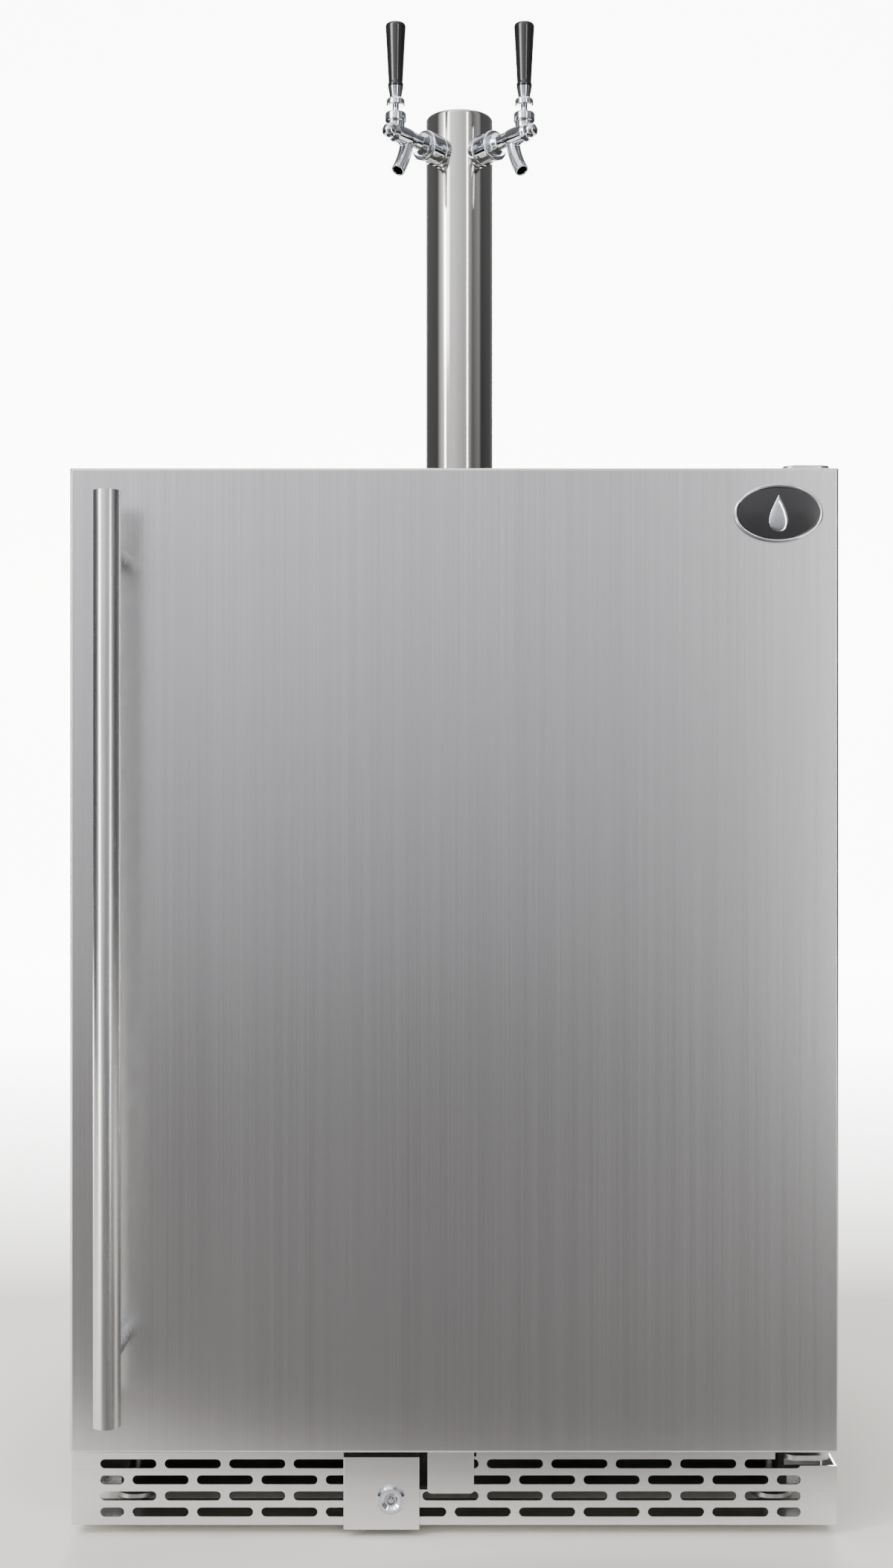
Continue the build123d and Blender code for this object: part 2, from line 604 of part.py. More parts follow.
def tower_cap():
    """Domed push-in cap."""
    inner = COLUMN_R - COLUMN_WALL - 0.05
    skirt = turned([(inner - 2, COLUMN_TOP - 14), (inner, COLUMN_TOP - 14), (inner, COLUMN_TOP),
                    (inner - 2, COLUMN_TOP)])
    rim = Line((0, COLUMN_TOP), (COLUMN_R, COLUMN_TOP))
    edge = TangentArc((COLUMN_R, COLUMN_TOP), (COLUMN_R - 4, COLUMN_TOP + 3.4), tangent=(0, 1))
    dome = Line(edge @ 1, (0, COLUMN_TOP + 5.5))
    axis = Line((0, COLUMN_TOP + 5.5), (0, COLUMN_TOP))
    face = make_face(Wire([rim, edge, dome, axis]))
    top = revolve(Plane.XZ * face, Axis.Z)
    return Pos(TOWER_X, TOWER_Y, 0) * (skirt + top)


def tower_insulation():
    sleeve = line_hole(CABINET_TOP + 2, TAP_Z - 22, COLUMN_R - COLUMN_WALL - 0.1)
    return sleeve - line_hole(800, 1200, 13.0)


def shank(side):
    """Threaded tube through the column with an outer collar and a hose barb inside."""
    body = rod(SHANK_R, (17, 0, 0), (SHANK_END, 0, 0)) + rod(4.2, (9, 0, 0), (18, 0, 0))
    barb = Pos(10.5, 0, 0) * Rot(0, 90, 0) * Cone(4.4, 5.0, 3.0)
    collar = rod(13.5, (25, 0, 0), (COLLAR_END, 0, 0)) - rod(COLUMN_R, (0, 0, -40), (0, 0, 40))
    collar = fillet(collar.faces().sort_by(Axis.X)[-1].edges(), 1.5)
    for k in range(5):
        near = (20.5 + k * 1.3, 0, 0)
        far = (21.0 + k * 1.3, 0, 0)
        body -= rod(SHANK_R + 1, near, far) - rod(SHANK_R - 0.5, near, far)
    solid = body + barb + collar - rod(3.0, (0, 0, 0), (60, 0, 0))
    return tap_place(side) * solid


def shank_nut(side):
    nut = hexagon(13.5, (19.5, 0, 0), (25.5, 0, 0)) - rod(SHANK_R + 0.05, (0, 0, 0), (40, 0, 0))
    return tap_place(side) * nut


def coupling_nut(side):
    """Round nut with spanner notches that draws the faucet on to the shank."""
    nut = rod(14.0, (NUT_START, 0, 0), (NUT_END, 0, 0))
    nut = fillet(nut.edges().filter_by(GeomType.CIRCLE), 1.6)
    for k in range(8):
        notch = Pos(SHANK_END, 0, 0) * Rot(45.0 * k, 0, 0) * Pos(0, 0, 14.6) * Box(11, 4.2, 3.6)
        nut -= notch
    nut -= rod(SHANK_R + 0.05, (30, 0, 0), (60, 0, 0))
    return tap_place(side) * nut


def spout_tube(radius):
    path = ThreePointArc((SPOUT_START, 0, 0), (SPOUT_START + 4.5, 0, -16),
                         (SPOUT_START + 14, 0, -33))
    start = Plane(origin=path @ 0, z_dir=path % 0)
    return sweep(start * Circle(radius), path=path)


def pivot(radius, half):
    """Cross pin on which the lever turns."""
    return rod(radius, (LEVER_R, -half, LEVER_PIVOT), (LEVER_R, half, LEVER_PIVOT))


def faucet_body(side):
    """Cast faucet: barrel, round nose, lever neck and a spout that leans outwards."""
    profile = [(0, SHANK_END), (SHANK_R, SHANK_END), (SHANK_R, NUT_END), (10.5, NUT_END + 0.5),
               (10.5, 58), (7.6, 63), (7.6, 70), (8.6, 78), (8.6, 97), (6.6, 101), (0, 101)]
    barrel = Rot(0, 90, 0) * turned(profile)
    nose = Pos(102.5, 0, 0) * Sphere(6.8)
    neck = Pos(LEVER_R, 0, 0) * turned([(0, 1), (8.1, 1), (8.4, 9), (9.6, 10.5), (9.6, 17),
                                        (8.8, 18), (0, 18)])
    solid = barrel + nose + neck + spout_tube(6.3)
    solid -= rod(5.3, (40, 0, 0), (101.6, 0, 0))
    solid -= rod(7.2, (LEVER_R, 0, 3.5), (LEVER_R, 0, 30))
    solid -= pivot(PIVOT_R + RUNNING, 12.0)
    solid -= spout_tube(4.6)
    return tap_place(side) * solid


def lever(side):
    """Lever on its cross pin inside the neck: its foot moves the plunger."""
    ball = Pos(LEVER_R, 0, LEVER_PIVOT) * Sphere(4.5)
    stem = rod(STEM_R, (LEVER_R, 0, LEVER_PIVOT), (LEVER_R, 0, 34))
    foot = rod(2.0, (LEVER_R, 0, -2), (LEVER_R, 0, LEVER_PIVOT))
    return tap_place(side) * (ball + stem + foot + pivot(PIVOT_R, 8.8))


def plunger(side):
    """Valve rod with its washer and the slotted yoke that the lever's foot moves."""
    yoke = rod(5.0, (87, 0, 0), (101, 0, 0))
    yoke -= Pos(LEVER_R, 0, 0) * Box(8.6, 5.2, 20)
    stem = rod(2.2, (60, 0, 0), (87.5, 0, 0))
    washer = rod(4.8, (59, 0, 0), (63, 0, 0))
    return tap_place(side) * (yoke + stem + washer)


def handle_collar(side):
    bore = STEM_R + 0.05
    ring = turned([(bore, 24), (7.6, 24), (8.4, 25), (8.4, 29), (7.4, 30.5), (bore, 30.5)])
    return tap_place(side) * Pos(LEVER_R, 0, 0) * ring


def handle_ferrule(side):
    bore = STEM_R + 0.05
    cone = turned([(bore, 30.5), (6.0, 30.5), (5.4, 32), (5.7, 34), (7.0, GRIP_BOTTOM),
                   (0, GRIP_BOTTOM), (0, 34), (bore, 34)])
    return tap_place(side) * Pos(LEVER_R, 0, 0) * cone


def tap_handle(side):
    """Black grip that widens upwards to a flat top."""
    grip = turned([(0, GRIP_BOTTOM), (6.6, GRIP_BOTTOM), (7.2, 44), (9.4, 94), (9.0, 97),
                   (7.4, GRIP_TOP), (0, GRIP_TOP)])
    return tap_place(side) * Pos(LEVER_R, 0, 0) * grip


# ---- cold side ----------------------------------------------------------------------------------
def keg_mat():
    mat = block(-245, 245, -185, 105, LINER_FLOOR, LINER_FLOOR + 3)
    for k in range(11):
        x = -225 + k * 45
        mat -= block(x - 1.5, x + 1.5, -180, 100, LINER_FLOOR + 1.5, LINER_FLOOR + 5)
    return mat


def evaporator():
    """Plate with its raised serpentine passage, hung just off the rear wall."""
    plate = block(-90, 240, CAVITY_BACK - 5, CAVITY_BACK - 3, 330, 540)
    for k in range(6):
        z = 350 + k * 34
        plate += rod(4.0, (-75, CAVITY_BACK - 5, z), (225, CAVITY_BACK - 5, z))
    for x in (-70, 220):
        plate += rod(6.0, (x, CAVITY_BACK - 4, 340), (x, CAVITY_BACK, 340))
        plate += rod(6.0, (x, CAVITY_BACK - 4, 530), (x, CAVITY_BACK, 530))
    return plate


def fan_ring(centre, radius, depth):
    """Square housing with a round air way, a rear motor mount and four spokes."""
    x, y, z = centre
    half = radius + 6
    frame = block(x - half, x + half, y - depth / 2, y + depth / 2, z - half, z + half)
    frame -= rod(radius, (x, y - depth, z), (x, y + depth, z))
    mount = rod(radius * 0.3, (x, y + depth / 2 - 4, z), (x, y + depth / 2, z))
    spokes = block(x - radius - 1, x + radius + 1, y + depth / 2 - 3, y + depth / 2, z - 2, z + 2)
    spokes += block(x - 2, x + 2, y + depth / 2 - 3, y + depth / 2, z - radius - 1, z + radius + 1)
    shaft = rod(2.0, (x, y - depth / 2 + 3, z), (x, y + depth / 2 - 2, z))
    return frame + mount + spokes + shaft


def fan_rotor(centre, radius, depth):
    """Hub with five pitched blades on the motor's shaft."""
    x, y, z = centre
    hub_r = radius * 0.28
    front = y - depth / 2 + 1
    back = y + depth / 2 - 6
    rotor = rod(hub_r, (x, front, z), (x, back, z))
    for k in range(5):
        reach = radius - 3 - hub_r
        blade = Box(reach + 4, 1.8, radius * 0.42)
        blade = Pos(hub_r + reach / 2 - 2, 0, 0) * Rot(28, 0, 0) * blade
        rotor += Pos(x, (front + back) / 2, z) * Rot(0, 72 * k, 0) * blade
    rotor &= block(x - 200, x + 200, front, back, z - 200, z + 200)
    return rotor - rod(2.0 + RUNNING, (x, front - 5, z), (x, back + 5, z))


def thermostat_box():
    box = block(CAVITY_W - 30, CAVITY_W, -60, 40, 640, 740)
    box = fillet(box.faces().sort_by(Axis.X)[0].edges(), 4)
    return box - rod(3.05, (CAVITY_W - 40, -10, 690), (CAVITY_W - 15, -10, 690))


def thermostat_knob():
    x = CAVITY_W - 30.5
    knob = rod(18.0, (x, -10, 690), (x - 12, -10, 690))
    knob = fillet(knob.faces().sort_by(Axis.X)[0].edges(), 2.5)
    knob += rod(3.0, (x, -10, 690), (x + 14, -10, 690))
    return knob - block(x - 14, x - 10.8, -11, -9, 692, 706)


# ---- machine compartment ------------------------------------------------------------------------
def compressor():
    x, y = COMPRESSOR
    floor = BASE_Z + BASE_THICK
    pot = turned([(0, 14), (62, 14), (68, 22), (68, 92), (64, 118), (50, 138), (26, 148), (0, 150)])
    seam = turned([(60, 84), (71, 84), (71, 88), (60, 88)])
    plate = block(-82, 82, -58, 58, 11, 14)
    for px in (-70, 70):
        for py in (-46, 46):
            plate -= rod(5.05, (px, py, 5), (px, py, 20))
    start_box = block(60, 84, -24, 24, 40, 84)
    return Pos(x, y, floor) * (pot + seam + plate + start_box)


def compressor_mounts():
    x, y = COMPRESSOR
    floor = BASE_Z + BASE_THICK
    mount = turned([(0, 0), (10, 0), (10, 4), (8, 6), (10, 8), (10, 11), (5, 11), (5, 17), (0, 17)])
    return [Pos(x + px, y + py, floor) * mount for px in (-70, 70) for py in (-46, 46)]


def condenser():
    """Finned coil in the machine compartment's air path."""
    x0, x1, y0, y1 = 40, 170, 196, 296
    coil = block(x0, x0 + 2, y0, y1, 40, 190) + block(x1 - 2, x1, y0, y1, 40, 190)
    for row in range(3):
        for col in range(5):
            z = 56 + col * 29
            y = y0 + 20 + row * 30
            coil += rod(4.0, (x0 - 8, y, z), (x1 + 8, y, z))
    fins = 14
    for k in range(fins):
        x = x0 + 6 + k * (x1 - x0 - 12) / (fins - 1)
        coil += block(x - 0.4, x + 0.4, y0 + 2, y1 - 2, 44, 186)
    return coil + block(x0, x1, y0, y1, 38, 40) + block(x0, x1, y0 + 45, y0 + 55, 20, 38)


def discharge_pipe():
    """Hot gas pipe from the compressor to the condenser."""
    points = [(-55.0, 262, 113), (-20, 262, 113), (-20, 276, 172), (32, 276, 172)]
    return tube_along(points, 3.0, 10.0)


def suction_pipe():
    """Return pipe that rises from the compressor to the evaporator's level."""
    points = [(-120, 304.2, 100), (-120, 312, 100), (-150, 312, 100), (-150, 312, 190)]
    return tube_along(points, 4.0, 5.0)


# ---- output -------------------------------------------------------------------------------------
os.makedirs("parts", exist_ok=True)
save("side_panel_left", side_panel(-1))
save("side_panel_right", side_panel(1))
save("top_panel", top_panel())
save("back_panel", back_panel())
save("power_gland", power_gland())
save("base_pan", base_pan())
save("levelling_feet", *[levelling_foot(x, y) for x in (-FOOT_X, FOOT_X) for y in FOOT_YS])
save("cabinet_liner", *liner_walls(), *liner_flange())
save("cabinet_foam", cabinet_foam())
save("line_sleeve", line_sleeve())
save("lower_hinge", lower_hinge())
save("upper_hinge", upper_hinge())
save("hinge_pins", *hinge_pins())
save("cabinet_screws", *hinge_screws(), *grille_screws())
save("kick_grille", kick_grille())
save("lock_plate", lock_plate())
save("lock_barrel", lock_barrel())
save("lock_plug", lock_plug())
save("lock_cam", lock_cam())
save("lock_bolt", lock_bolt())
save("door_strike", door_strike())
save("door_skin", door_skin())
save("door_foam", door_foam())
save("door_liner", door_liner())
save("door_gasket", door_gasket())
save("hinge_bushes", *hinge_bushes())
save("handle_bar", handle_bar())
save("handle_bar_ends", bar_end(BAR_BOTTOM, -1), bar_end(BAR_TOP, 1))
save("handle_posts", *[handle_post(z) for z in POST_HEIGHTS])
save("door_screws", *[handle_screw(z) for z in POST_HEIGHTS], strike_screw(-10.0),
     strike_screw(8.0))
save("badge_rim", badge_rim(), badge_emblem())
save("badge_face", badge_face())
save("tower_gasket", tower_gasket())
save("tower_flange", tower_flange())
save("flange_screws", *flange_screws())
save("tower_column", tower_column())
save("tower_cap", tower_cap())
save("tower_insulation", tower_insulation())
save("tap_shanks", shank(-1), shank(1))
save("shank_nuts", shank_nut(-1), shank_nut(1))
save("coupling_nuts", coupling_nut(-1), coupling_nut(1))
save("faucet_bodies", faucet_body(-1), faucet_body(1))
for word, side in (("left", -1), ("right", 1)):
    save(f"tap_lever_{word}", lever(side), handle_collar(side), handle_ferrule(side))
    save(f"tap_handle_{word}", tap_handle(side))
    save(f"tap_plunger_{word}", plunger(side))
save("keg_mat", keg_mat())
save("evaporator", evaporator())
save("evaporator_fan_frame", fan_ring(EVAPORATOR_FAN, 45, 25))
save("evaporator_fan", fan_rotor(EVAPORATOR_FAN, 45, 25))
save("thermostat_box", thermostat_box())
save("thermostat_knob", thermostat_knob())
save("compressor", compressor())
save("compressor_mounts", *compressor_mounts())
save("condenser", condenser())
save("condenser_fan_frame", fan_ring(FAN_CENTRE, 62, 30))
save("condenser_fan", fan_rotor(FAN_CENTRE, 62, 30))
save("refrigerant_pipes", discharge_pipe(), suction_pipe())
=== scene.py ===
import json
import math

import bmesh
import bpy
import numpy as np
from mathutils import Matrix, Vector


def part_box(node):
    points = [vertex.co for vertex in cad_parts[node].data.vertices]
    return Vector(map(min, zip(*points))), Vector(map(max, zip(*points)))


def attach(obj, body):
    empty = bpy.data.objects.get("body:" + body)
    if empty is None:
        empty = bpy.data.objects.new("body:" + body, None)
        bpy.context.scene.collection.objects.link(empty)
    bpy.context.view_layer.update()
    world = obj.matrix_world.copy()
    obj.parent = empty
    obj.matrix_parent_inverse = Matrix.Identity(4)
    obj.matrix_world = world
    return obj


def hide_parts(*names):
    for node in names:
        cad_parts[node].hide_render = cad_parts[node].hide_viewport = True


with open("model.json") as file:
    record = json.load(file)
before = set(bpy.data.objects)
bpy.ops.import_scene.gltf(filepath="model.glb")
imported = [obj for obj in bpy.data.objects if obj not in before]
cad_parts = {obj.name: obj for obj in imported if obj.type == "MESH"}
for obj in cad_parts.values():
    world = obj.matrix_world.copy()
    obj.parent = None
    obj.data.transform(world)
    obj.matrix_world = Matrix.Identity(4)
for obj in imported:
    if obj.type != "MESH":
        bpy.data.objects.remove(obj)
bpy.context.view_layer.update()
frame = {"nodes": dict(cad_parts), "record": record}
nodes = frame["nodes"]


def newMaterial(name):
    # an empty node tree with a principled shader wired to the output
    material = bpy.data.materials.new(name)
    material.use_nodes = True
    tree = material.node_tree
    tree.nodes.clear()
    output = tree.nodes.new("ShaderNodeOutputMaterial")
    shader = tree.nodes.new("ShaderNodeBsdfPrincipled")
    tree.links.new(shader.outputs["BSDF"], output.inputs["Surface"])
    return material, tree, shader


def setShader(shader, **values):
    # sockets by their name with underscores for spaces
    for word, value in values.items():
        shader.inputs[word.replace("_", " ")].default_value = value


def scaledCoords(tree, scale, angle=(0, 0, 0)):
    coords = tree.nodes.new("ShaderNodeTexCoord")
    mapping = tree.nodes.new("ShaderNodeMapping")
    mapping.inputs["Scale"].default_value = scale
    mapping.inputs["Rotation"].default_value = angle
    tree.links.new(coords.outputs["Object"], mapping.inputs["Vector"])
    return mapping.outputs["Vector"]


def noise(tree, vector, scale, detail=4.0, rough=0.55):
    node = tree.nodes.new("ShaderNodeTexNoise")
    node.inputs["Scale"].default_value = scale
    node.inputs["Detail"].default_value = detail
    node.inputs["Roughness"].default_value = rough
    tree.links.new(vector, node.inputs["Vector"])
    return node.outputs["Fac"]


def ramp(tree, fac, stops):
    # stops are (position, grey or colour)
    node = tree.nodes.new("ShaderNodeValToRGB")
    elements = node.color_ramp.elements
    elements.remove(elements[1])
    for place, tone in stops:
        element = elements[0] if place == stops[0][0] else elements.new(place)
        element.position = place
        element.color = (tone, tone, tone, 1) if isinstance(tone, float) else (*tone, 1)
    tree.links.new(fac, node.inputs["Fac"])
    return node.outputs["Color"]


def spread(tree, fac, low, high):
    # carries 0..1 on to low..high
    node = tree.nodes.new("ShaderNodeMapRange")
    node.inputs["To Min"].default_value = low
    node.inputs["To Max"].default_value = high
    tree.links.new(fac, node.inputs["Value"])
    return node.outputs["Result"]


def portion(tree, value, start, end):
    # carries start..end on to 0..1
    node = tree.nodes.new("ShaderNodeMapRange")
    node.inputs["From Min"].default_value = start
    node.inputs["From Max"].default_value = end
    tree.links.new(value, node.inputs["Value"])
    return node.outputs["Result"]


def mixColors(tree, fac, one, two):
    # each of the three is a constant or a link
    node = tree.nodes.new("ShaderNodeMix")
    node.data_type = "RGBA"
    for socket, value in ((node.inputs[0], fac), (node.inputs[6], one), (node.inputs[7], two)):
        if isinstance(value, (float, tuple)):
            socket.default_value = value if isinstance(value, float) else (*value, 1)
        else:
            tree.links.new(value, socket)
    return node.outputs[2]


def addBump(tree, shader, height, strength, distance):
    node = tree.nodes.new("ShaderNodeBump")
    node.inputs["Strength"].default_value = strength
    node.inputs["Distance"].default_value = distance
    tree.links.new(height, node.inputs["Height"])
    tree.links.new(node.outputs["Normal"], shader.inputs["Normal"])


grainDepth = {"brushed": 0.0002, "polished": 0.0003, "paint": 0.0003, "plastic": 0.0002}   # metres
broadScale = {"paint": 6.0, "plastic": 9.0}   # slow changes of tone, per metre
cloudShare = 0.35   # how far the slow cloud shows through the brushing


def brushedMetal(name, look):
    # long fine scratches along one axis: colour, roughness and bump share them
    material, tree, shader = newMaterial(name)
    strokes = noise(tree, scaledCoords(tree, look["strokes"]), 1.0, 5.0, 0.6)
    faint = noise(tree, scaledCoords(tree, look["cloud"]), 1.0, 3.0, 0.5)
    scratch = ramp(tree, strokes, [(0.3, look["dark"]), (0.7, look["light"])])
    cloud = ramp(tree, faint, [(0.3, look["dark"]), (0.75, look["light"])])
    tint = mixColors(tree, cloudShare, scratch, cloud)
    tree.links.new(tint, shader.inputs["Base Color"])
    tree.links.new(spread(tree, strokes, *look["rough"]), shader.inputs["Roughness"])
    setShader(shader, Metallic=1.0)
    addBump(tree, shader, strokes, look["bump"], grainDepth["brushed"])
    return material


def polishedMetal(name, look):
    # bright plate with faint smears in its gloss
    material, tree, shader = newMaterial(name)
    smear = noise(tree, scaledCoords(tree, look["smear"]), 1.0, 4.0, 0.6)
    tint = ramp(tree, smear, [(0.25, look["dark"]), (0.7, look["light"])])
    tree.links.new(tint, shader.inputs["Base Color"])
    tree.links.new(spread(tree, smear, *look["rough"]), shader.inputs["Roughness"])
    setShader(shader, Metallic=1.0)
    addBump(tree, shader, smear, look["bump"], grainDepth["polished"])
    return material


def paintedSteel(name, look):
    # powder coat: pebbled bump over a plain dark colour
    material, tree, shader = newMaterial(name)
    pebbles = noise(tree, scaledCoords(tree, (1, 1, 1)), look["grain"], 3.0, 0.6)
    broad = noise(tree, scaledCoords(tree, (1, 1, 1)), broadScale["paint"], 3.0, 0.5)
    tree.links.new(mixColors(tree, broad, look["dark"], look["light"]), shader.inputs["Base Color"])
    tree.links.new(spread(tree, pebbles, *look["rough"]), shader.inputs["Roughness"])
    setShader(shader, Metallic=0.0)
    addBump(tree, shader, pebbles, look["bump"], grainDepth["paint"])
    return material


def mouldedPlastic(name, look):
    # fine texture in the moulding, with a soft change of tone
    material, tree, shader = newMaterial(name)
    fine = noise(tree, scaledCoords(tree, (1, 1, 1)), look["grain"], 2.0, 0.5)
    broad = noise(tree, scaledCoords(tree, (1, 1, 1)), broadScale["plastic"], 2.0, 0.5)
    tree.links.new(mixColors(tree, broad, look["dark"], look["light"]), shader.inputs["Base Color"])
    tree.links.new(spread(tree, fine, *look["rough"]), shader.inputs["Roughness"])
    setShader(shader, Metallic=0.0, Coat_Weight=look.get("coat", 0.0), Coat_Roughness=0.08)
    addBump(tree, shader, fine, look["bump"], grainDepth["plastic"])
    return material


def gridFaces(rows, columns, wrapRows, wrapColumns):
    # quads between neighbouring grid points; a wrapped direction joins its end to its start
    r = np.arange(rows if wrapRows else rows - 1)
    c = np.arange(columns if wrapColumns else columns - 1)
    r, c = np.meshgrid(r, c, indexing="ij")
    r2 = (r + 1) % rows
    c2 = (c + 1) % columns
    corners = [r * columns + c, r * columns + c2, r2 * columns + c2, r2 * columns + c]
    return np.stack(corners, -1).reshape(-1, 4)


weld = {"doubles": 1e-6, "slivers": 1e-7, "castDoubles": 2e-6}   # metres


def meshFrom(name, points, faces):
    # a smooth mesh, welded and with its faces turned outwards
    mesh = bpy.data.meshes.new(name)
    mesh.from_pydata(points.reshape(-1, 3).tolist(), [], faces.tolist())
    bm = bmesh.new()
    bm.from_mesh(mesh)
    bmesh.ops.remove_doubles(bm, verts=bm.verts, dist=weld["doubles"])
    bmesh.ops.dissolve_degenerate(bm, edges=bm.edges, dist=weld["slivers"])
    bmesh.ops.recalc_face_normals(bm, faces=bm.faces)
    bm.to_mesh(mesh)
    bm.free()
    mesh.polygons.foreach_set("use_smooth", [True] * len(mesh.polygons))
    piece = bpy.data.objects.new(name, mesh)
    bpy.context.scene.collection.objects.link(piece)
    return piece


def lathe(name, radii, heights, base, axis, turns):
    # point = base + axis * height + (cos t * side + sin t * up) * radius
    axis = np.array(axis, float) / np.linalg.norm(axis)
    side = np.cross(axis, [0.0, 0.0, 1.0] if abs(axis[2]) < 0.9 else [0.0, 1.0, 0.0])
    side /= np.linalg.norm(side)
    up = np.cross(axis, side)
    t = np.linspace(0, 2 * math.pi, turns, endpoint=False)
    r = np.repeat(np.array(radii, float)[:, None], turns, 1)
    ring = np.cos(t)[:, None] * side + np.sin(t)[:, None] * up
    points = np.array(base) + np.array(heights, float)[:, None, None] * axis + r[..., None] * ring
    return meshFrom(name, points, gridFaces(len(radii), turns, False, True))


def smoothProfile(stops, count):
    # even samples along straight lines through (height, radius) stops
    stops = np.array(stops, float)
    along = np.concatenate([[0], np.cumsum(np.hypot(*np.diff(stops, axis=0).T))])
    samples = np.linspace(0, along[-1], count)
    return np.interp(samples, along, stops[:, 0]), np.interp(samples, along, stops[:, 1])


def finish(piece, material, body, replaced=()):
    piece.data.materials.clear()
    piece.data.materials.append(material)
    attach(piece, body)
    if replaced:
        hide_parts(*replaced)


badge = {"border": 0.0026, "crown": 0.0007, "around": 160, "rimFoot": 0.45, "faceFoot": 0.42,
         "tuck": 0.0002, "lift": 0.0001, "archSteps": 15, "faceSteps": 24}
drop = {"wide": 0.0105, "tall": 0.0145, "point": 1.4, "proud": 0.0008, "crest": 0.15,
        "around": 96, "riseSteps": 10}


def ovalRing(name, half, profile, base):
    # point = base + (cos t * (a - inset), -height, sin t * (b - inset)), profile is (inset, height)
    t = np.linspace(0, 2 * math.pi, badge["around"], endpoint=False)
    profile = np.array(profile, float)
    a = half[0] - profile[:, 0][:, None]
    b = half[1] - profile[:, 0][:, None]
    depth = np.repeat(profile[:, 1][:, None], badge["around"], 1)
    points = np.stack([a * np.cos(t), -depth, b * np.sin(t)], -1) + np.array(base)
    return meshFrom(name, points, gridFaces(len(profile), badge["around"], False, True))


def makeBadge(chrome, enamel):
    # domed rim and a slightly crowned face in place of the flat ones
    low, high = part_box("badge_rim")
    half = ((high.x - low.x) / 2, (high.z - low.z) / 2)
    centre = ((high.x + low.x) / 2, high.y, (high.z + low.z) / 2)
    thick = high.y - low.y
    turn = np.linspace(0, math.pi, badge["archSteps"])
    border = badge["border"]
    foot = badge["rimFoot"]
    arch = [(border / 2 * (1 - math.cos(a)), thick * foot + thick * (1 - foot) * math.sin(a)) for a in turn]
    profile = [(0, 0)] + arch + [(border, badge["tuck"])]
    rim = ovalRing("badge_border", half, profile, centre)
    inset = np.linspace(border, half[1], badge["faceSteps"])
    inward = (inset - border) / (half[1] - border)
    rise = thick * badge["faceFoot"] + badge["crown"] * np.sin(inward * math.pi / 2)
    steps = [(border, badge["tuck"])] + list(zip(inset[:-1], rise[:-1]))
    face = ovalRing("badge_enamel_face", half, steps, centre)
    capMesh(face)
    raisedDrop = makeDrop(centre, rise[-1] + badge["lift"])
    finish(rim, chrome, "door", ("badge_rim",))
    finish(face, enamel, "door", ("badge_face",))
    finish(raisedDrop, chrome, "door")


def capMesh(piece):
    # closes open rims with flat faces
    bm = bmesh.new()
    bm.from_mesh(piece.data)
    bmesh.ops.holes_fill(bm, edges=[e for e in bm.edges if e.is_boundary], sides=0)
    bmesh.ops.recalc_face_normals(bm, faces=bm.faces)
    bm.to_mesh(piece.data)
    bm.free()


def makeDrop(centre, lift):
    # a plump raised drop: a teardrop outline shrunk in steps as it rises
    t = np.linspace(0, 2 * math.pi, drop["around"], endpoint=False)
    width = drop["wide"] * np.sin(t) * np.sin(t / 2) ** drop["point"]
    height = drop["tall"] * np.cos(t)
    rise = np.linspace(0, math.pi / 2, drop["riseSteps"])
    size = np.cos(rise)[:, None] * (1 - drop["crest"]) + drop["crest"]
    depth = -(lift + drop["proud"] * np.sin(rise))[:, None] * np.ones_like(t)
    points = np.stack([width * size, depth, height * size], -1) + np.array(centre)
    piece = meshFrom("badge_drop", points, gridFaces(len(rise), len(t), False, True))
    capMesh(piece)
    return piece


# the grip's outline: (part of its height, part of its half width), from the foot to the flat top
grip = {"turns": 120, "samples": 90,
        "outline": ((0, 0), (0, 0.70), (0.012, 0.735), (0.05, 0.76), (0.07, 0.70), (0.1, 0.70),
                    (0.5, 0.83), (0.90, 0.97), (0.95, 0.99), (0.978, 0.95), (0.992, 0.85), (1, 0.66),
                    (1, 0))}


def makeGrip(side, material):
    # tapered grip with a rolled foot and a soft flat top
    node = f"tap_handle_{side}"
    low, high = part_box(node)
    base = ((low.x + high.x) / 2, (low.y + high.y) / 2, low.z)
    tall = high.z - low.z
    wide = (high.x - low.x) / 2
    stops = [(height * tall, radius * wide) for height, radius in grip["outline"]]
    heights, radii = smoothProfile(stops, grip["samples"])
    piece = lathe(f"grip_{side}", radii, heights, base, (0, 0, 1), grip["turns"])
    finish(piece, material, f"tap_{side}", (node,))


casting = {"voxel": 0.00055, "rounds": 6, "pull": 0.5}


def castCopy(node, name, material, body):
    # the node's shape remade as one casting: voxel remesh, then smoothing that rounds the joins
    source = nodes[node]
    mesh = source.data.copy()
    bm = bmesh.new()
    bm.from_mesh(mesh)
    bmesh.ops.remove_doubles(bm, verts=bm.verts, dist=weld["castDoubles"])
    bm.to_mesh(mesh)
    bm.free()
    piece = bpy.data.objects.new(name, mesh)
    bpy.context.scene.collection.objects.link(piece)
    remesh = piece.modifiers.new("remesh", "REMESH")
    remesh.mode = "VOXEL"
    remesh.voxel_size = casting["voxel"]
    remesh.use_smooth_shade = True
    smooth = piece.modifiers.new("smooth", "SMOOTH")
    smooth.iterations = casting["rounds"]
    smooth.factor = casting["pull"]
    applyModifiers(piece)
    finish(piece, material, body, (node,))


def applyModifiers(piece):
    graph = bpy.context.evaluated_depsgraph_get()
    done = bpy.data.meshes.new_from_object(piece.evaluated_get(graph))
    piece.modifiers.clear()
    piece.data = done


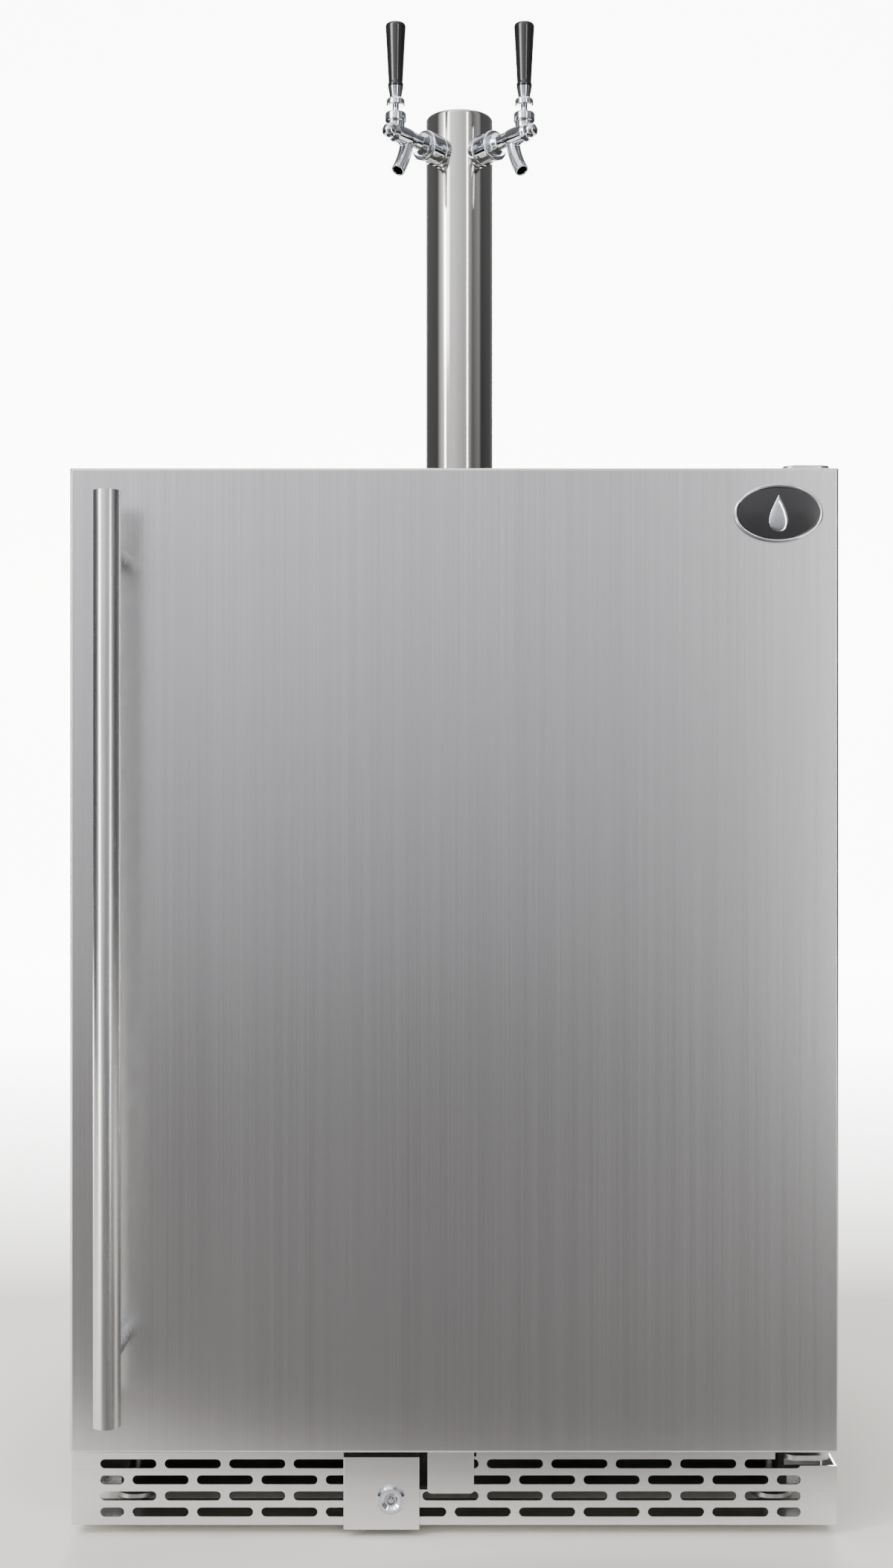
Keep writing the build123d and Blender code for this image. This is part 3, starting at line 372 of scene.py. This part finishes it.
# the seal's section as (inset, part of its thickness): "section" is measured from its outer edge and
# goes from the door to the cabinet, "inner" is measured from its inner edge and comes back
seal = {"corner": 0.012, "steps": 12, "wide": 0.018,
        "section": ((0, 0), (0.001, 0.12), (0.0034, 0.2), (0.0036, 0.3), (0.0006, 0.42), (0.0004, 0.55),
                    (0.0014, 0.66), (0.0004, 0.78), (0.0003, 0.92), (0.0016, 1.0)),
        "inner": ((0.002, 1.0), (0.0003, 0.9), (0.0004, 0.78), (0.0014, 0.66), (0.0004, 0.55),
                  (0.0006, 0.42), (0.0036, 0.3), (0.0034, 0.2), (0.001, 0.12), (0, 0))}


def roundedPath(low, high, corner, steps):
    # points round a rectangle in X and Z with quarter-circle corners, and the outward direction at each
    centres = [(high[0] - corner, high[1] - corner), (low[0] + corner, high[1] - corner),
               (low[0] + corner, low[1] + corner), (high[0] - corner, low[1] + corner)]
    points = []
    outward = []
    for k, (cx, cz) in enumerate(centres):
        angles = math.pi / 2 * (k + np.linspace(0, 1, steps))
        way = np.stack([np.cos(angles), np.sin(angles)], -1)
        points.append(np.array([cx, cz]) + corner * way)
        outward.append(way)
    return np.concatenate(points), np.concatenate(outward)


def makeGasket(rubber):
    # bellows section carried round the door: a flat magnet pocket over two folds
    low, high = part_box("door_gasket")
    tall = high.y - low.y
    back = [(seal["wide"] - inset, height) for inset, height in seal["inner"]]
    section = np.array(list(seal["section"]) + back)
    path, outward = roundedPath((low.x, low.z), (high.x, high.z), seal["corner"], seal["steps"])
    flat = path[None] - outward[None] * section[:, 0][:, None, None]
    depth = low.y + np.repeat((section[:, 1] * tall)[:, None], len(path), 1)
    points = np.stack([flat[..., 0], depth, flat[..., 1]], -1)
    piece = meshFrom("door_seal", points, gridFaces(len(section), len(path), True, True))
    finish(piece, rubber, "door", ("door_gasket",))


# strokes, cloud and smear are pattern scales along X, Y and Z, per metre, and so is grain
upright = {"strokes": (1500, 1500, 1.6), "cloud": (130, 130, 0.7), "dark": 0.545, "light": 0.665,
           "rough": (0.22, 0.29), "bump": 0.04}
sideways = {"strokes": (1.6, 1500, 1500), "cloud": (0.6, 70, 70), "dark": 0.68, "light": 0.80,
            "rough": (0.22, 0.30), "bump": 0.04}
barFinish = {"strokes": (700, 700, 14), "cloud": (40, 40, 3), "dark": 0.56, "light": 0.72,
             "rough": (0.20, 0.32), "bump": 0.06}
columnFinish = {"smear": (60, 60, 1.5), "dark": (0.44, 0.43, 0.40), "light": (0.60, 0.59, 0.56),
                "rough": (0.07, 0.16), "bump": 0.02}
chromeFinish = {"smear": (120, 120, 120), "dark": (0.55, 0.57, 0.60), "light": (0.68, 0.70, 0.73),
                "rough": (0.05, 0.14), "bump": 0.03}
zincFinish = {"smear": (180, 180, 180), "dark": (0.42, 0.42, 0.40), "light": (0.62, 0.62, 0.60),
              "rough": (0.28, 0.45), "bump": 0.08}
lockFinish = {"smear": (300, 300, 300), "dark": (0.45, 0.45, 0.47), "light": (0.62, 0.62, 0.64),
              "rough": (0.22, 0.34), "bump": 0.05}
brassFinish = {"smear": (200, 200, 200), "dark": (0.55, 0.38, 0.15), "light": (0.75, 0.56, 0.26),
               "rough": (0.2, 0.34), "bump": 0.05}
copperFinish = {"smear": (150, 150, 150), "dark": (0.45, 0.21, 0.12), "light": (0.72, 0.40, 0.26),
                "rough": (0.24, 0.42), "bump": 0.06}
millFinish = {"smear": (90, 90, 12), "dark": (0.52, 0.53, 0.54), "light": (0.74, 0.75, 0.76),
              "rough": (0.3, 0.46), "bump": 0.06}
cabinetPaint = {"grain": 1400.0, "dark": (0.016, 0.016, 0.017), "light": (0.026, 0.026, 0.027),
                "rough": (0.42, 0.62), "bump": 0.35}
compressorPaint = {"grain": 500.0, "dark": (0.008, 0.008, 0.008), "light": (0.02, 0.02, 0.02),
                   "rough": (0.2, 0.36), "bump": 0.12}
gripPlastic = {"grain": 900.0, "dark": (0.006, 0.006, 0.006), "light": (0.014, 0.014, 0.014),
               "rough": (0.16, 0.26), "bump": 0.06, "coat": 0.3}
enamelLook = {"grain": 700.0, "dark": (0.006, 0.006, 0.006), "light": (0.010, 0.010, 0.010),
              "rough": (0.12, 0.2), "bump": 0.03, "coat": 0.5}
blackPlastic = {"grain": 1100.0, "dark": (0.018, 0.018, 0.018), "light": (0.035, 0.035, 0.035),
                "rough": (0.45, 0.62), "bump": 0.2}
linerPlastic = {"grain": 800.0, "dark": (0.70, 0.71, 0.71), "light": (0.80, 0.81, 0.81),
                "rough": (0.28, 0.42), "bump": 0.10}
rubberLook = {"grain": 900.0, "dark": (0.02, 0.02, 0.02), "light": (0.045, 0.045, 0.045),
              "rough": (0.6, 0.8), "bump": 0.2}
matLook = {"grain": 600.0, "dark": (0.022, 0.022, 0.022), "light": (0.05, 0.05, 0.05),
           "rough": (0.65, 0.85), "bump": 0.35}
foamLook = {"grain": 420.0, "dark": (0.62, 0.52, 0.32), "light": (0.76, 0.67, 0.46),
            "rough": (0.8, 0.95), "bump": 0.5}

print("materials")
doorSteel = brushedMetal("door steel", upright)
grilleSteel = brushedMetal("grille steel", sideways)
barSteel = brushedMetal("bar steel", barFinish)
columnSteel = polishedMetal("column steel", columnFinish)
chrome = polishedMetal("chrome plate", chromeFinish)
zinc = polishedMetal("zinc plate", zincFinish)
lockSteel = polishedMetal("lock steel", lockFinish)
brass = polishedMetal("turned brass", brassFinish)
copper = polishedMetal("drawn copper", copperFinish)
mill = polishedMetal("mill aluminium", millFinish)
coat = paintedSteel("cabinet powder coat", cabinetPaint)
enamelBlack = paintedSteel("compressor enamel", compressorPaint)
gripBlack = mouldedPlastic("grip plastic", gripPlastic)
badgeBlack = mouldedPlastic("badge enamel", enamelLook)
mouldBlack = mouldedPlastic("black moulding", blackPlastic)
linerWhite = mouldedPlastic("liner plastic", linerPlastic)
rubber = mouldedPlastic("seal rubber", rubberLook)
matRubber = mouldedPlastic("mat rubber", matLook)
foam = mouldedPlastic("rigid foam", foamLook)

slotFinish = {"cabinet_paint": coat, "zinc_steel": zinc, "black_plastic": mouldBlack,
              "liner_plastic": linerWhite, "foam": foam, "brushed_steel": grilleSteel,
              "satin_steel": barSteel, "chrome": chrome, "lock_steel": lockSteel,
              "seal_rubber": rubber, "badge_enamel": badgeBlack, "polished_steel": columnSteel,
              "handle_black": gripBlack, "valve_brass": brass, "mat_rubber": matRubber,
              "aluminium": mill, "knob_plastic": mouldBlack, "compressor_paint": enamelBlack,
              "copper": copper}
for entry in frame["record"]["subparts"]:
    look = doorSteel if entry["node"] == "door_skin" else slotFinish[entry["material_slot"]]
    nodes[entry["node"]].data.materials.clear()
    nodes[entry["node"]].data.materials.append(look)


# the back wall stands farther off than the camera goes in any view from behind
room = {"bend": 1.2, "bendSteps": 13, "wall": 5.4, "half": 2.6, "top": 4.6, "floorRows": (-5.0, -1.0, 0.5),
        "glowFrom": (0.4, 2.6), "glow": 9.0, "rough": 0.8,
        # the oval, its soft edge and the dark floor tone are painted shade on the floor out in front of the
        # door
        "paintedShadeOval": (0.12, -2.62, 1.35, 2.29), "paintedShadeEdge": (0.95, 1.02),
        "floorPaintedShade": (0.09, 0.082, 0.075), "floorPale": (0.80, 0.77, 0.70),
        "tint": (0.985, 0.975, 1.03), "rise": (-0.15, 0.42), "low": 0.15, "high": 2.3,
        "panels": ((0.0, 0.35), (0.14, 0.10), (0.28, 0.08), (0.33, 0.85), (0.45, 1.1),
                   (0.50, 0.75), (0.58, 0.45), (0.62, 0.12), (0.69, 0.30), (0.72, 0.06),
                   (0.86, 0.10), (1.0, 0.35))}
view = {"away": 1.43, "tall": 1.21656, "centre": (-0.0061, 0.5858), "sensor": 36.0, "reach": 50}


def makeCamera():
    # level camera in front of the door, framed on the door's plane
    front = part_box("door_skin")[0].y
    camera = bpy.data.cameras.new("camera")
    camera.sensor_fit = "VERTICAL"
    camera.sensor_height = view["sensor"]
    camera.lens = view["sensor"] * view["away"] / view["tall"]
    camera.clip_end = view["reach"]
    holder = bpy.data.objects.new("camera", camera)
    holder.location = (view["centre"][0], front - view["away"], view["centre"][1])
    holder.rotation_euler = (math.pi / 2, 0, 0)
    bpy.context.scene.collection.objects.link(holder)
    bpy.context.scene.camera = holder


# each light: place, the point it faces, its two sides, its power
lamps = {"key": ((-1.9, -1.9, 2.3), (0, 0, 0.7), (1.1, 1.4), 34),
         "left strip": ((-1.44, -1.23, 1.0), (-0.2, -0.2, 0.9), (0.16, 2.0), 22),
         "right strip": ((0.9, -1.75, 1.0), (-0.1, -0.2, 0.9), (0.10, 2.0), 12),
         "top": ((0, 0.2, 3.2), (0, 0, 0.8), (2.0, 2.0), 25)}


def softLight(name, place, target, size, power):
    data = bpy.data.lights.new(name, "AREA")
    data.shape = "RECTANGLE"
    data.size = size[0]
    data.size_y = size[1]
    data.energy = power
    light = bpy.data.objects.new(name, data)
    light.location = place
    light.rotation_euler = (Vector(target) - Vector(place)).to_track_quat("-Z", "Y").to_euler()
    bpy.context.scene.collection.objects.link(light)


def makeSweep():
    # floor that curves up into a wall: pale under the object, with painted shade in a dark oval out in
    # front, glowing behind
    turns = np.linspace(0, math.pi / 2, room["bendSteps"])
    bend, far, half = room["bend"], room["wall"], room["half"]
    outline = [(y, 0.0) for y in room["floorRows"]]
    outline += [(far - bend + bend * math.sin(t), bend - bend * math.cos(t)) for t in turns]
    outline.append((far, room["top"]))
    points = np.array([[(x, y, z) for y, z in outline] for x in (-half, half)])
    sweep = meshFrom("sweep", points.reshape(-1, 3), gridFaces(2, len(outline), False, False))
    material, tree, shader = newMaterial("sweep")
    # painted shade on the floor: a dark oval out in front, darker than the lamps leave it, whose reflection
    # darkens the door's foot; distance from its middle, each way over its radius
    paintedShadeOval = room["paintedShadeOval"]
    coords = tree.nodes.new("ShaderNodeTexCoord")
    place = tree.nodes.new("ShaderNodeMapping")
    place.vector_type = "TEXTURE"
    place.inputs["Location"].default_value = (paintedShadeOval[0], paintedShadeOval[1], 0)
    place.inputs["Scale"].default_value = (paintedShadeOval[2], paintedShadeOval[3], 1)
    tree.links.new(coords.outputs["Object"], place.inputs["Vector"])
    reach = tree.nodes.new("ShaderNodeVectorMath")
    reach.operation = "LENGTH"
    tree.links.new(place.outputs["Vector"], reach.inputs[0])
    pale = portion(tree, reach.outputs["Value"], *room["paintedShadeEdge"])
    # the floor's own pale colour outside the oval, painted shade inside it
    tone = mixColors(tree, pale, room["floorPaintedShade"], room["floorPale"])
    tree.links.new(tone, shader.inputs["Base Color"])
    split = tree.nodes.new("ShaderNodeSeparateXYZ")
    tree.links.new(coords.outputs["Object"], split.inputs["Vector"])
    behind = portion(tree, split.outputs["Y"], *room["glowFrom"])
    tree.links.new(spread(tree, behind, 0.0, room["glow"]), shader.inputs["Emission Strength"])
    setShader(shader, Roughness=room["rough"], Emission_Color=(1, 1, 1, 1))
    sweep.data.materials.append(material)


def makeWorld():
    # a room of light and dark panels round the object: brightness goes by compass direction,
    # measured from straight ahead of the door, times a rise with height
    world = bpy.data.worlds.new("room")
    bpy.context.scene.world = world
    world.use_nodes = True
    tree = world.node_tree
    tree.nodes.clear()
    output = tree.nodes.new("ShaderNodeOutputWorld")
    background = tree.nodes.new("ShaderNodeBackground")
    coords = tree.nodes.new("ShaderNodeTexCoord")
    split = tree.nodes.new("ShaderNodeSeparateXYZ")
    tree.links.new(coords.outputs["Generated"], split.inputs["Vector"])
    flip = tree.nodes.new("ShaderNodeMath")
    flip.operation = "MULTIPLY"
    flip.inputs[1].default_value = -1
    tree.links.new(split.outputs["Y"], flip.inputs[0])
    compass = tree.nodes.new("ShaderNodeMath")
    compass.operation = "ARCTAN2"
    tree.links.new(split.outputs["X"], compass.inputs[0])
    tree.links.new(flip.outputs["Value"], compass.inputs[1])
    turn = portion(tree, compass.outputs["Value"], -math.pi, math.pi)
    stops = [(place, [level * part for part in room["tint"]]) for place, level in room["panels"]]
    panels = ramp(tree, turn, stops)
    height = spread(tree, portion(tree, split.outputs["Z"], *room["rise"]), room["low"], room["high"])
    tree.links.new(panels, background.inputs["Color"])
    tree.links.new(height, background.inputs["Strength"])
    tree.links.new(background.outputs["Background"], output.inputs["Surface"])


print("stage")
makeCamera()
makeSweep()
makeWorld()
for name, facts in lamps.items():
    softLight(name, *facts)

print("pieces")
makeBadge(chrome, badgeBlack)
for side in ("left", "right"):
    makeGrip(side, gripBlack)
makeGasket(rubber)
castCopy("faucet_bodies", "cast_faucets", chrome, "cabinet")
